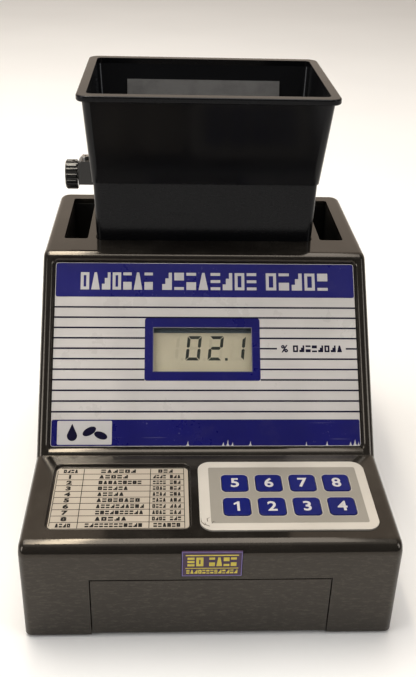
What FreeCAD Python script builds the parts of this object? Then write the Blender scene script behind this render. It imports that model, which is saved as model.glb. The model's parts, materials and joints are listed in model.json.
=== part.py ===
import FreeCAD, Part
import math
import os

# Bench-top grain moisture meter: black plastic case with a keypad deck and a sloped display panel,
# a measuring hopper with a turning gate on top, a chute inside and a sample drawer in the base.
# Millimetres, +Z up, front towards -Y, origin at the centre of the footprint under the feet.

V = FreeCAD.Vector

# ---------------------------------------------------------------- driving dimensions
WALL = 3.0               # case wall
CASE_W = 165.8           # overall width of the case
Y_FRONT = -110.5         # front wall
Y_KNEE = -45.9           # where the keypad deck meets the sloped panel
Y_BROW = 23.0            # where the sloped panel meets the top deck
Y_REAR = 110.5           # rear wall
FOOT_DROP = 1.5          # the feet hold the case this far off the bench
Z_LOW = FOOT_DROP + 51.2     # keypad deck
Z_TOP = FOOT_DROP + 128.6    # top deck
EDGE_R = 3.2             # rounding of the moulded edges
NOSE_R = 5.8             # front edge of the keypad deck
CREST_R = 5.5            # edge between the sloped panel and the top deck
CORNER_R = 6.0           # rear upright corners

HOP_Y = 64.5             # hopper centre line
NECK_HX = 57.8           # half width of the neck at its top
NECK_HY = 25.6           # half depth of the neck at its top
NECK_TOP = Z_TOP + 31.3  # the step between neck and funnel
THROAT_HX = 54.5         # clear half width inside the neck
THROAT_HY = 22.8         # clear half depth inside the neck
RIM_Z = Z_TOP + 80.0     # top of the hopper rim
RIM_HX = 62.9
RIM_HY = 45.5
RIM_T = 3.0
GATE_Z = Z_TOP + 27.2    # gate shaft axis
SHAFT_R = 2.5
BUSH_R = 3.8
RUN_FIT = 0.05           # radial clearance of turning fits

GRIP_X0 = 61.6           # carry slots in the top deck
GRIP_X1 = 74.1
GRIP_Y0 = Y_BROW + 17.8
GRIP_Y1 = Y_BROW + 78.0
GRIP_DEEP = 32.0
GRIP_R = 1.5

DRAWER_HX = 50.0         # sample drawer box
DRAWER_BACK = 21.0
DRAWER_Z0 = 5.2
DRAWER_Z1 = 32.0
FRONT_HX = 52.85         # drawer front
FRONT_Z0 = 2.1
FRONT_Z1 = 34.0

KEY_W = 12.1             # keys
KEY_PITCH_X = 15.9
KEY_PITCH_Y = 16.8
KEY_X = 35.9
KEY_Y = Y_FRONT + 33.8
KEY_PROUD = 1.0
PAD_X0, PAD_X1 = -4.9, 74.6
PAD_Y0, PAD_Y1 = Y_FRONT + 9.9, Y_FRONT + 58.6

LABEL_X0, LABEL_X1 = -71.6, -9.6
LABEL_Y0, LABEL_Y1 = Y_FRONT + 12.6, Y_FRONT + 55.8

BADGE_HX = 13.0          # badge on the front wall
BADGE_Z0, BADGE_Z1 = 36.6, 50.3

SLOPE_LEN = math.hypot(Y_BROW - Y_KNEE, Z_TOP - Z_LOW)
SLOPE_DEG = math.degrees(math.atan2(Z_TOP - Z_LOW, Y_BROW - Y_KNEE))
WIN_X0, WIN_X1 = -26.5, 22.9
WIN_S0, WIN_S1 = 42.1, 64.5
SEAT = 2.4               # depth of the seat in the sloped panel
SEAT_HX = 77.0
SEAT_S0, SEAT_S1 = 4.1, 99.1
SEAT_RIM_R = 2.3
SILL_R = 5.0             # rolled sill below the seat
SILL_S = 0.4             # where the roll leaves the slope
BACKING = 4.2            # rear face of the thickened sloped wall
GLASS = 4.8              # front face of the display glass


# ---------------------------------------------------------------- helpers
def box(x0, x1, y0, y1, z0, z1):
    return Part.makeBox(x1 - x0, y1 - y0, z1 - z0, V(x0, y0, z0))


def cyl(radius, start, end):
    a = V(*start)
    b = V(*end)
    return Part.makeCylinder(radius, (b - a).Length, a, b - a)


def round_box(x0, x1, y0, y1, z0, z1, r):
    """Box with its four upright edges rounded."""
    solid = box(x0, x1, y0, y1, z0, z1)
    upright = [e for e in solid.Edges if abs(e.tangentAt(e.FirstParameter).z) > 0.99]
    return solid.makeFillet(r, upright)


def prism_x(points, x0, x1):
    """Extrude a closed (y, z) outline along X."""
    loop = [V(x0, y, z) for y, z in points]
    loop.append(loop[0])
    return Part.Face(Part.makePolygon(loop)).extrude(V(x1 - x0, 0, 0))


def round_rect(hx, hy, cy, z, r):
    """Rounded rectangular wire at height z, centred on (0, cy)."""
    k = r * math.sqrt(0.5)
    edges = []
    for sx, sy in ((1, -1), (1, 1), (-1, 1), (-1, -1)):
        cx0 = sx * (hx - r)
        cy0 = cy + sy * (hy - r)
        across = V(cx0 + sx * r, cy0, z)
        along = V(cx0, cy0 + sy * r, z)
        middle = V(cx0 + sx * k, cy0 + sy * k, z)
        if sx * sy < 0:
            edges.append((along, middle, across))
        else:
            edges.append((across, middle, along))
    wire = []
    for i, (start, middle, end) in enumerate(edges):
        wire.append(Part.Arc(start, middle, end).toShape())
        wire.append(Part.makeLine(end, edges[(i + 1) % 4][0]))
    return Part.Wire(wire)


def loft(low, high):
    """Straight-sided solid between two rounded rectangles (hx, hy, cy, z, r)."""
    return Part.makeLoft([round_rect(*low), round_rect(*high)], True, True)


def on_slope(shape):
    """Move a shape from panel coordinates (x, up the slope, outward) to the case."""
    moved = shape.copy()
    moved.rotate(V(0, 0, 0), V(1, 0, 0), SLOPE_DEG)
    moved.translate(V(0, Y_KNEE, Z_LOW))
    return moved


def fuse(shapes):
    out = shapes[0]
    for s in shapes[1:]:
        out = out.fuse(s)
    return out.removeSplitter()


def cut_all(shape, tools):
    for t in tools:
        shape = shape.cut(t)
    return shape


def screw(head_r, head_h, shank_r, length, at, axis):
    """Pan-head screw: head under surface at `at`, shank running along `axis`."""
    d = V(*axis)
    d.normalize()
    p = V(*at)
    head = Part.makeCylinder(head_r, head_h, p - d * head_h, d)
    shank = Part.makeCylinder(shank_r, length, p, d)
    slot_a = Part.makeBox(head_r * 1.3, 0.7, 0.6, V(-head_r * 0.65, -0.35, 0))
    slot_b = Part.makeBox(0.7, head_r * 1.3, 0.6, V(-0.35, -head_r * 0.65, 0))
    cross = slot_a.fuse(slot_b)
    cross.Placement = FreeCAD.Placement(p - d * head_h, FreeCAD.Rotation(V(0, 0, 1), d))
    return head.fuse(shank).cut(cross)


def case_outline(inset):
    """Side outline of the case, moved inwards by `inset` (open at the bottom when inset)."""
    half = math.radians(SLOPE_DEG) / 2
    shift = inset * math.tan(half)
    bottom = FOOT_DROP - (5.0 if inset else 0.0)
    return [(Y_FRONT + inset, bottom),
            (Y_FRONT + inset, Z_LOW - inset),
            (Y_KNEE + shift, Z_LOW - inset),
            (Y_BROW + shift, Z_TOP - inset),
            (Y_REAR - inset, Z_TOP - inset),
            (Y_REAR - inset, bottom)]


def mirrored(shape):
    return shape.mirror(V(0, 0, 0), V(1, 0, 0))


parts = {}

KEY_SPOTS = {}
for number in range(1, 9):
    column = (number - 1) % 4
    row = (number - 1) // 4
    KEY_SPOTS[number] = (KEY_X + (column - 1.5) * KEY_PITCH_X, KEY_Y + (row - 0.5) * KEY_PITCH_Y)

# ---------------------------------------------------------------- main housing
HALF_W = CASE_W / 2
IN_W = HALF_W - WALL
shell = prism_x(case_outline(0.0), -HALF_W, HALF_W)
rear_up = [e for e in shell.Edges
           if abs(e.tangentAt(e.FirstParameter).z) > 0.99 and e.CenterOfMass.y > Y_REAR - 1]
shell = shell.makeFillet(CORNER_R, rear_up)
nose = [e for e in shell.Edges
        if e.BoundBox.XLength > 100 and e.CenterOfMass.y < Y_FRONT + 1 and e.CenterOfMass.z > Z_LOW - 1]
shell = shell.makeFillet(NOSE_R, nose)
crest = [e for e in shell.Edges
         if e.BoundBox.XLength > 100 and abs(e.CenterOfMass.y - Y_BROW) < 0.1]
shell = shell.makeFillet(CREST_R, crest)
soft = []
for e in shell.Edges:
    box_e = e.BoundBox
    if box_e.ZMax < FOOT_DROP + 0.1:
        continue
    behind = e.CenterOfMass.y > Y_FRONT + 10
    upright = behind and box_e.ZMin < FOOT_DROP + 0.1
    knee = abs(e.CenterOfMass.y - Y_KNEE) < 0.1 and box_e.XLength > 100
    nose_line = not behind and box_e.XLength > 100
    crest_line = box_e.XLength > 100 and abs(e.CenterOfMass.y - Y_BROW) < CREST_R
    if not upright and not knee and not nose_line and not crest_line:
        soft.append(e)
shell = shell.makeFillet(EDGE_R, soft)
shell = shell.cut(prism_x(case_outline(WALL), -IN_W, IN_W))

# sample drawer mouth
shell = shell.cut(box(-FRONT_HX - 0.3, FRONT_HX + 0.3, Y_FRONT - 1, Y_FRONT + WALL + 1,
                      FOOT_DROP - 1, FRONT_Z1 + 0.3))
# badge seat
shell = shell.cut(box(-BADGE_HX - 0.2, BADGE_HX + 0.2, Y_FRONT - 1, Y_FRONT + 0.4,
                      BADGE_Z0 - 0.2, BADGE_Z1 + 0.2))
# sloped panel: thickened wall, rounded seat for the overlay and the display opening
shell = shell.fuse(on_slope(box(-IN_W - 0.2, IN_W + 0.2, 3.0, 100.0, -BACKING, -WALL + 0.1)))
shell = shell.cut(on_slope(round_box(-SEAT_HX, SEAT_HX, SEAT_S0, SEAT_S1, -SEAT, 5, 2.0)))
seat_rim = []
for e in shell.Edges:
    flat = e.copy()
    flat.translate(V(0, -Y_KNEE, -Z_LOW))
    flat.rotate(V(0, 0, 0), V(1, 0, 0), -SLOPE_DEG)
    b = flat.BoundBox
    if b.ZLength < 0.01 and abs(b.ZMax) < 0.01 and b.XMax < SEAT_HX + 0.1 and b.XMin > -SEAT_HX - 0.1:
        if b.YMin > SEAT_S0 - 0.1 and b.YMax < SEAT_S1 + 0.1:
            seat_rim.append(e)
shell = shell.makeFillet(SEAT_RIM_R, seat_rim)
sill = box(-SEAT_HX, SEAT_HX, SILL_S, SEAT_S0 + 0.05, -SEAT + 0.1, 1)
sill = sill.cut(cyl(SILL_R, (-SEAT_HX - 1, SILL_S, -SILL_R), (SEAT_HX + 1, SILL_S, -SILL_R)))
shell = shell.cut(on_slope(sill))
shell = shell.cut(on_slope(box(WIN_X0 - 1, WIN_X1 + 1, WIN_S0 - 1, WIN_S1 + 1, -BACKING - 1, 1)))
# seat of the sample table label
LABEL_TOP = Z_LOW - 0.75
label_seat = round_box(LABEL_X0 - 0.8, LABEL_X1 + 0.8, LABEL_Y0 - 0.8, LABEL_Y1 + 2.2,
                       LABEL_TOP - 0.35, Z_LOW + 5, 3.5)
shell = shell.cut(label_seat)
label_rim = [e for e in shell.Edges
             if e.BoundBox.ZLength < 0.01 and abs(e.BoundBox.ZMax - Z_LOW) < 0.01
             and e.BoundBox.XMin > LABEL_X0 - 1 and e.BoundBox.XMax < LABEL_X1 + 1]
shell = shell.makeFillet(0.5, label_rim)
# keypad seat and eight key openings
shell = shell.cut(round_box(PAD_X0 - 0.2, PAD_X1 + 0.2, PAD_Y0 - 0.2, PAD_Y1 + 0.2,
                            Z_LOW - 0.6, Z_LOW + 5, 6.2))
KEY_GAP = 0.3
for kx, ky in KEY_SPOTS.values():
    h = KEY_W / 2 + KEY_GAP
    shell = shell.cut(round_box(kx - h, kx + h, ky - h, ky + h, Z_LOW - WALL - 1, Z_LOW + 1, 2.3))
# hopper opening and carry slots
shell = shell.cut(round_box(-57.4, 57.4, HOP_Y - 25.7, HOP_Y + 25.7, Z_TOP - 5, Z_TOP + 5, 4.0))
slot = round_box(GRIP_X0, GRIP_X1, GRIP_Y0, GRIP_Y1, Z_TOP - 5, Z_TOP + 5, GRIP_R)
shell = cut_all(shell, [slot, mirrored(slot)])
# rear opening
rear_hole = box(-71, 71, Y_REAR - WALL - 1, Y_REAR + 1, 8.0, 118.0)
shell = shell.cut(rear_hole)

bosses = []
drills = []
# bosses that take the base screws
BASE_SCREWS = [(sx * 73.5, y) for sx in (-1, 1) for y in (-98.0, 0.0, 98.0)]
for bx, by in BASE_SCREWS:
    sx = 1 if bx > 0 else -1
    x_in, x_out = sorted((sx * 69.0, sx * IN_W))
    bosses.append(box(x_in, x_out, by - 4.5, by + 4.5, 4.6, 20.0))
    drills.append(cyl(1.3, (bx, by, 4.0), (bx, by, 15.0)))
# bosses for the keypad board
KEYPAD_SCREWS = [(x, Y_FRONT + y) for x in (-0.5, 70.8) for y in (14.0, 56.0)]
BOARD_TOP = 41.0
for bx, by in KEYPAD_SCREWS:
    bosses.append(cyl(3.0, (bx, by, BOARD_TOP), (bx, by, Z_LOW - WALL + 0.2)))
    drills.append(cyl(1.0, (bx, by, BOARD_TOP - 1), (bx, by, BOARD_TOP + 7)))
# bosses for the neck
NECK_SCREWS = [(sx * 30.0, HOP_Y + sy * 32.0) for sx in (-1, 1) for sy in (-1, 1)]
for bx, by in NECK_SCREWS:
    bosses.append(cyl(3.5, (bx, by, Z_TOP - 9), (bx, by, Z_TOP - WALL + 0.2)))
    drills.append(cyl(1.3, (bx, by, Z_TOP - 10), (bx, by, Z_TOP - 2)))
# bosses for the display board, square to the slope
DISPLAY_SCREWS = [(x, s) for x in (-32.0, 28.4) for s in (33.0, 73.0)]
for bx, bs in DISPLAY_SCREWS:
    bosses.append(on_slope(cyl(3.0, (bx, bs, -GLASS - 6.8), (bx, bs, -BACKING + 0.2))))
    drills.append(on_slope(cyl(1.0, (bx, bs, -GLASS - 7.4), (bx, bs, -GLASS - 0.4))))
shell = fuse([shell] + bosses)
shell = cut_all(shell, drills)
# counterbored holes for the rear cover screws
BACK_SCREWS = [(sx * 75.0, z) for sx in (-1, 1) for z in (30.0, 85.0)]
BACK_SCREWS += [(sx * 50.0, 122.5) for sx in (-1, 1)]
for bx, bz in BACK_SCREWS:
    shell = shell.cut(cyl(1.3, (bx, Y_REAR - 4, bz), (bx, Y_REAR + 1, bz)))
    shell = shell.cut(cyl(2.8, (bx, Y_REAR - 1.6, bz), (bx, Y_REAR + 1, bz)))
parts["main_housing"] = shell

# ---------------------------------------------------------------- base plate and feet
base = box(-IN_W + 0.3, IN_W - 0.3, Y_FRONT + WALL + 0.2, Y_REAR - WALL - 0.2, FOOT_DROP, 4.5)
FEET = [(sx * 62.0, sy * 84.0) for sx in (-1, 1) for sy in (-1, 1)]
BOARD_SCREWS = [(x, y) for x in (-4.0, 62.0) for y in (38.0, 96.0)]
BOARD_Z = 10.5
standoffs = [cyl(3.0, (x, y, 4.4), (x, y, BOARD_Z)) for x, y in BOARD_SCREWS]
base = fuse([base] + standoffs)
for x, y in BOARD_SCREWS:
    base = base.cut(cyl(1.0, (x, y, 5.0), (x, y, BOARD_Z + 1)))
for x, y in FEET:
    base = base.cut(cyl(8.2, (x, y, FOOT_DROP - 1), (x, y, FOOT_DROP + 1.0)))
for x, y in BASE_SCREWS:
    base = base.cut(cyl(1.3, (x, y, 0), (x, y, 6)))
    base = base.cut(cyl(3.0, (x, y, 0), (x, y, FOOT_DROP + 1.6)))
for i in range(6):
    x = 6.0 + i * 7.5
    base = base.cut(round_box(x, x + 2.5, 48.0, 84.0, 0, 6, 1.2))
parts["base_plate"] = base
parts["rubber_feet"] = Part.makeCompound(
    [cyl(8.0, (x, y, 0.8), (x, y, FOOT_DROP + 1.0)).fuse(
        Part.makeCone(7.3, 8.0, 0.8, V(x, y, 0), V(0, 0, 1))) for x, y in FEET])
parts["base_screws"] = Part.makeCompound(
    [screw(2.8, 1.4, 1.3, 11.0, (x, y, FOOT_DROP + 1.6), (0, 0, 1)) for x, y in BASE_SCREWS])

# ---------------------------------------------------------------- rear cover
COVER_Y0 = Y_REAR - WALL - 3.1
COVER_Y1 = Y_REAR - WALL - 0.1
DOOR_X0, DOOR_X1 = -67.1, -12.9
DOOR_Z0, DOOR_Z1 = 13.0, 42.1
HINGE_Y = (COVER_Y0 + COVER_Y1) / 2
HINGE_Z = DOOR_Z0 + 1.5
SWITCH_X, SWITCH_Z = 40.0, 30.0
JACK_X, JACK_Z = 60.0, 30.0
cover = box(-IN_W + 0.4, IN_W - 0.4, COVER_Y0, COVER_Y1, 4.8, Z_TOP - WALL - 0.3)
cover = fuse([cover] + [cyl(3.0, (x, COVER_Y0 - 6, z), (x, COVER_Y0 + 1, z)) for x, z in BACK_SCREWS])
for x, z in BACK_SCREWS:
    cover = cover.cut(cyl(1.3, (x, COVER_Y0 - 5.5, z), (x, COVER_Y1 + 1, z)))
cover = cover.cut(box(DOOR_X0 - 0.4, DOOR_X1 + 0.4, COVER_Y0 - 1, COVER_Y1 + 1,
                      DOOR_Z0 - 0.5, DOOR_Z1 + 0.4))
for x0, x1 in ((DOOR_X0 - 2.0, DOOR_X0), (DOOR_X1, DOOR_X1 + 2.0)):
    cover = cover.cut(cyl(0.8 + RUN_FIT, (x0, HINGE_Y, HINGE_Z), (x1, HINGE_Y, HINGE_Z)))
cover = cover.cut(box(SWITCH_X - 6.7, SWITCH_X + 6.7, COVER_Y0 - 1, COVER_Y1 + 1,
                      SWITCH_Z - 9.7, SWITCH_Z + 9.7))
cover = cover.cut(cyl(4.2, (JACK_X, COVER_Y0 - 1, JACK_Z), (JACK_X, COVER_Y1 + 1, JACK_Z)))
for i in range(8):
    z = 64.0 + i * 5.5
    cover = cover.cut(box(-38, 38, COVER_Y0 - 1, COVER_Y1 + 1, z, z + 2.4))
parts["back_cover"] = cover
parts["back_screws"] = Part.makeCompound(
    [screw(2.6, 1.5, 1.3, 7.8, (x, Y_REAR - 1.6, z), (0, -1, 0)) for x, z in BACK_SCREWS])

# ---------------------------------------------------------------- battery bay
door = box(DOOR_X0, DOOR_X1, COVER_Y0, COVER_Y1, HINGE_Z, DOOR_Z1)
door = door.fuse(cyl(1.5, (DOOR_X0, HINGE_Y, HINGE_Z), (DOOR_X1, HINGE_Y, HINGE_Z)))
door = door.fuse(cyl(0.8, (DOOR_X0 - 1.8, HINGE_Y, HINGE_Z), (DOOR_X1 + 1.8, HINGE_Y, HINGE_Z)))
for i in range(4):
    z = 34.0 + i * 1.8
    door = door.cut(box(-48, -32, COVER_Y1 - 0.6, COVER_Y1 + 1, z, z + 0.9))
parts["battery_door"] = door.removeSplitter()
HOLD_X0, HOLD_X1 = -69.0, -11.0
HOLD_Y0, HOLD_Y1 = 72.0, COVER_Y0 - 0.1
HOLD_Z0, HOLD_Z1 = 10.0, 44.0
holder = box(HOLD_X0, HOLD_X1, HOLD_Y0, HOLD_Y1, HOLD_Z0, HOLD_Z1)
holder = holder.cut(box(HOLD_X0 + 2, HOLD_X1 - 2, HOLD_Y0 + 2, HOLD_Y1 + 1, HOLD_Z0 + 2, HOLD_Z1 - 2))
legs = [box(x, x + 4, 74, 100, 4.5, HOLD_Z0) for x in (-66.0, -42.0, -18.0)]
parts["battery_holder"] = fuse([holder] + legs)
CELL_R = 7.1
cells = []
contacts = []
for row, z in enumerate((19.6, 34.4)):
    for col, y in enumerate((81.6, 96.2)):
        flip = (row + col) % 2
        a, b = -65.0, -15.8
        cells.append(cyl(CELL_R, (a, y, z), (b, y, z)).fuse(
            cyl(2.7, (a - 0.8, y, z), (a, y, z)) if flip else cyl(2.7, (b, y, z), (b + 0.8, y, z))))
parts["batteries"] = Part.makeCompound(cells)
for y0, y1, z0, z1 in ((75.5, 87.5, 14, 40), (90, 102, 14, 40)):
    contacts.append(box(-66.95, -66.4, y0, y1, z0, z1))
    contacts.append(box(-13.6, -13.05, y0, y1, z0, z1))
parts["battery_contacts"] = Part.makeCompound(contacts)

# ---------------------------------------------------------------- power switch and inlet
PIVOT_Y = COVER_Y1 - 3.6
body = box(SWITCH_X - 6.5, SWITCH_X + 6.5, 86.0, COVER_Y1 + 0.05, SWITCH_Z - 9.5, SWITCH_Z + 9.5)
body = body.fuse(round_box(-7.6, 7.6, -10.6, 10.6, 0, 1.3, 1.5).rotated(
    V(0, 0, 0), V(1, 0, 0), -90).translated(V(SWITCH_X, COVER_Y1 + 0.05, SWITCH_Z)))
body = body.cut(box(SWITCH_X - 4.8, SWITCH_X + 4.8, PIVOT_Y - 4.0, COVER_Y1 + 3,
                    SWITCH_Z - 7.8, SWITCH_Z + 7.8))
body = body.cut(cyl(1.0 + RUN_FIT, (SWITCH_X - 5.6, PIVOT_Y, SWITCH_Z), (SWITCH_X + 5.6, PIVOT_Y, SWITCH_Z)))
for dx in (-3.0, 3.0):
    body = body.fuse(box(SWITCH_X + dx - 1.6, SWITCH_X + dx - 1.2 + 1.6, 79.0, 86.5,
                         SWITCH_Z - 0.4, SWITCH_Z + 0.4))
parts["switch_body"] = body.removeSplitter()
rock = prism_x([(-1.5, -6.9), (-1.5, 6.9), (4.6, 6.9), (3.4, 0.0), (4.6, -6.9)], -4.5, 4.5)
rock = rock.fuse(cyl(1.0, (-5.4, 0, 0), (5.4, 0, 0)))
rock.rotate(V(0, 0, 0), V(1, 0, 0), 8.0)
rock.translate(V(SWITCH_X, PIVOT_Y, SWITCH_Z))
parts["power_rocker"] = rock.removeSplitter()
jack = box(JACK_X - 5.0, JACK_X + 5.0, 91.0, COVER_Y0 - 0.1, JACK_Z - 5.5, JACK_Z + 5.5)
jack = jack.fuse(cyl(4.1, (JACK_X, COVER_Y0 - 0.2, JACK_Z), (JACK_X, COVER_Y1 + 1.5, JACK_Z)))
jack = jack.cut(cyl(2.8, (JACK_X, 94.0, JACK_Z), (JACK_X, COVER_Y1 + 3, JACK_Z)))
jack = jack.fuse(cyl(1.0, (JACK_X, 93.0, JACK_Z), (JACK_X, COVER_Y1 + 0.6, JACK_Z)))
parts["dc_jack"] = jack
nut = Part.Face(Part.makePolygon(
    [V(6.2 * math.cos(math.radians(60 * i)), 0, 6.2 * math.sin(math.radians(60 * i)))
     for i in range(7)])).extrude(V(0, 1.3, 0))
nut = nut.cut(cyl(4.1, (0, -1, 0), (0, 3, 0)))
parts["jack_nut"] = nut.translated(V(JACK_X, COVER_Y1 + 0.05, JACK_Z))

# ---------------------------------------------------------------- main board
pcb = box(-8, 66, 34, 100, BOARD_Z, BOARD_Z + 1.6)
for x, y in BOARD_SCREWS:
    pcb = pcb.cut(cyl(1.0, (x, y, BOARD_Z - 1), (x, y, BOARD_Z + 3)))
parts["main_board"] = pcb
BT = BOARD_Z + 1.6
parts["board_screws"] = Part.makeCompound(
    [screw(2.0, 1.4, 1.0, 6.0, (x, y, BT), (0, 0, -1)) for x, y in BOARD_SCREWS])
chips = []
for x, y, w, d, h in ((10, 58, 36, 14, 3.6), (12, 80, 20, 7.5, 3.4), (38, 80, 20, 7.5, 3.4),
                      (54, 44, 10, 4.6, 9.5)):
    chips.append(box(x, x + w, y, y + d, BT, BT + h))
parts["board_chips"] = Part.makeCompound(chips)
plugs = []
for x, y, w, d in ((-4, 50, 6, 20), (14, 36, 26, 6), (58, 60, 6, 16)):
    frame = box(x, x + w, y, y + d, BT, BT + 7.5)
    plugs.append(frame.cut(box(x + 1, x + w - 1, y + 1, y + d - 1, BT + 1.5, BT + 9)))
parts["board_connectors"] = Part.makeCompound(plugs)

# ---------------------------------------------------------------- carry grips
def grip_cup():
    floor_z = Z_TOP - GRIP_DEEP
    under = Z_TOP - WALL - 0.05
    lip = round_box(GRIP_X0 - 3.2, GRIP_X1 + 3.2, GRIP_Y0 - 3.0, GRIP_Y1 + 2.6, under - 1.5, under, 4.0)
    pocket = round_box(GRIP_X0 - 1.6, GRIP_X1 + 1.6, GRIP_Y0 - 1.6, GRIP_Y1 + 1.6,
                       floor_z - 1.6, under, 4.0)
    hollow = round_box(GRIP_X0, GRIP_X1, GRIP_Y0, GRIP_Y1, floor_z, Z_TOP, GRIP_R)
    return lip.fuse(pocket).cut(hollow).removeSplitter()


parts["grip_cup_right"] = grip_cup()
parts["grip_cup_left"] = mirrored(grip_cup())

# ---------------------------------------------------------------- sloped panel and display
overlay = round_box(-76.4, 76.4, 4.7, 98.5, -SEAT + 0.02, -SEAT + 0.55, 1.2)
overlay = overlay.cut(box(WIN_X0, WIN_X1, WIN_S0, WIN_S1, -3, 1))
parts["panel_overlay"] = on_slope(overlay)
parts["display_window"] = on_slope(
    box(WIN_X0 - 0.9, WIN_X1 + 0.9, WIN_S0 - 0.9, WIN_S1 + 0.9, -SEAT - 1.25, -SEAT - 0.05))
LCD_X0, LCD_X1 = WIN_X0 - 2.2, WIN_X1 + 2.2
LCD_S0, LCD_S1 = WIN_S0 - 2.6, WIN_S1 + 2.6
BOARD_N = -GLASS - 6.8    # face of the display board
parts["lcd_glass"] = on_slope(box(LCD_X0, LCD_X1, LCD_S0, LCD_S1, -GLASS - 2.8, -GLASS))
holder = box(LCD_X0 - 2, LCD_X1 + 2, LCD_S0 - 1.6, LCD_S1 + 1.6, BOARD_N + 0.1, -GLASS + 0.4)
holder = holder.cut(box(LCD_X0 - 0.1, LCD_X1 + 0.1, LCD_S0 - 0.1, LCD_S1 + 0.1, -GLASS - 2.9, -GLASS + 0.1))
holder = holder.cut(box(WIN_X0 - 0.6, WIN_X1 + 0.6, WIN_S0 - 0.6, WIN_S1 + 0.6, -GLASS - 1, -GLASS + 1))
holder = holder.cut(box(LCD_X0 + 1, LCD_X1 - 1, LCD_S0 + 0.4, LCD_S1 - 0.4, BOARD_N - 1, -GLASS - 2.4))
parts["lcd_holder"] = on_slope(holder)
strips = []
for s in (LCD_S0 + 1.8, LCD_S1 - 1.8):
    strips.append(on_slope(box(LCD_X0 + 3, LCD_X1 - 3, s - 1.2, s + 1.2, BOARD_N + 0.05, -GLASS - 2.85)))
parts["lcd_zebra_strips"] = Part.makeCompound(strips)
board = box(-36.0, 32.4, 29.0, 77.0, BOARD_N - 1.6, BOARD_N)
for x, s in DISPLAY_SCREWS:
    board = board.cut(cyl(1.0, (x, s, BOARD_N - 3), (x, s, BOARD_N + 1)))
parts["display_board"] = on_slope(board)
parts["display_screws"] = Part.makeCompound(
    [on_slope(screw(2.0, 1.4, 1.0, 7.0, (x, s, BOARD_N - 1.6), (0, 0, 1))) for x, s in DISPLAY_SCREWS])

# ---------------------------------------------------------------- keypad
pad = round_box(PAD_X0, PAD_X1, PAD_Y0, PAD_Y1, Z_LOW - 0.58, Z_LOW + 0.6, 6.0)
for kx, ky in KEY_SPOTS.values():
    h = KEY_W / 2 + KEY_GAP
    pad = pad.cut(round_box(kx - h, kx + h, ky - h, ky + h, Z_LOW - 2, Z_LOW + 2, 2.3))
parts["keypad_overlay"] = pad
FLANGE_TOP = Z_LOW - WALL - 0.1
for number, (kx, ky) in KEY_SPOTS.items():
    h = KEY_W / 2
    cap = round_box(kx - h, kx + h, ky - h, ky + h, FLANGE_TOP - 0.5, Z_LOW + KEY_PROUD, 2.0)
    top = [e for e in cap.Edges if e.BoundBox.ZMin > Z_LOW + KEY_PROUD - 0.01]
    cap = cap.makeFillet(0.35, top)
    flange = round_box(kx - 7.5, kx + 7.5, ky - 7.5, ky + 7.5, FLANGE_TOP - 1.4, FLANGE_TOP, 1.5)
    stem = cyl(2.0, (kx, ky, 46.7), (kx, ky, FLANGE_TOP - 1.0))
    parts["key_%d" % number] = cap.fuse(flange).fuse(stem).removeSplitter()
board = box(-4.5, 74.8, Y_FRONT + 9.5, Y_FRONT + 60.5, BOARD_TOP - 1.6, BOARD_TOP)
for x, y in KEYPAD_SCREWS:
    board = board.cut(cyl(1.0, (x, y, BOARD_TOP - 3), (x, y, BOARD_TOP + 1)))
parts["keypad_board"] = board
parts["keypad_screws"] = Part.makeCompound(
    [screw(2.0, 1.4, 1.0, 7.5, (x, y, BOARD_TOP - 1.6), (0, 0, 1)) for x, y in KEYPAD_SCREWS])
switches = []
for kx, ky in KEY_SPOTS.values():
    switches.append(box(kx - 3, kx + 3, ky - 3, ky + 3, BOARD_TOP, BOARD_TOP + 3.5).fuse(
        cyl(1.75, (kx, ky, BOARD_TOP + 3), (kx, ky, BOARD_TOP + 5.0))))
parts["tact_switches"] = Part.makeCompound(switches)

# ---------------------------------------------------------------- printed label and badge
parts["table_label"] = round_box(LABEL_X0, LABEL_X1, LABEL_Y0, LABEL_Y1, LABEL_TOP - 0.33, LABEL_TOP, 2.5)
parts["badge"] = box(-BADGE_HX, BADGE_HX, Y_FRONT - 0.4, Y_FRONT + 0.38, BADGE_Z0, BADGE_Z1)

# ---------------------------------------------------------------- hopper
funnel = loft((58.6, 26.4, HOP_Y, NECK_TOP + 0.05, 4.0), (60.4, 42.4, HOP_Y, RIM_Z - RIM_T, 4.0))
rim = round_box(-RIM_HX, RIM_HX, HOP_Y - RIM_HY, HOP_Y + RIM_HY, RIM_Z - RIM_T, RIM_Z, 5.5)
rim = rim.makeFillet(0.8, [e for e in rim.Edges if e.BoundBox.ZLength < 0.01])
funnel = funnel.fuse(rim)
inner_low = (THROAT_HX, THROAT_HY, HOP_Y, NECK_TOP + 0.05, 2.0)
inner_high = (58.2, 40.2, HOP_Y, RIM_Z - RIM_T, 2.6)
hollow = loft(inner_low, inner_high).fuse(
    loft(inner_high, (58.2, 40.2, HOP_Y, RIM_Z + 1, 2.6)))
funnel = funnel.cut(hollow)

# electrode plates on the leaning inner walls
run = inner_high[1] - inner_low[1]
rise = inner_high[3] - inner_low[3]
slant = math.hypot(run, rise)


def wall_point(z, off):
    """Point on the leaning front inner wall at height z, moved `off` into the hopper."""
    y = HOP_Y - THROAT_HY - run * (z - inner_low[3]) / rise
    return y + off * rise / slant, z + off * run / slant


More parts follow.
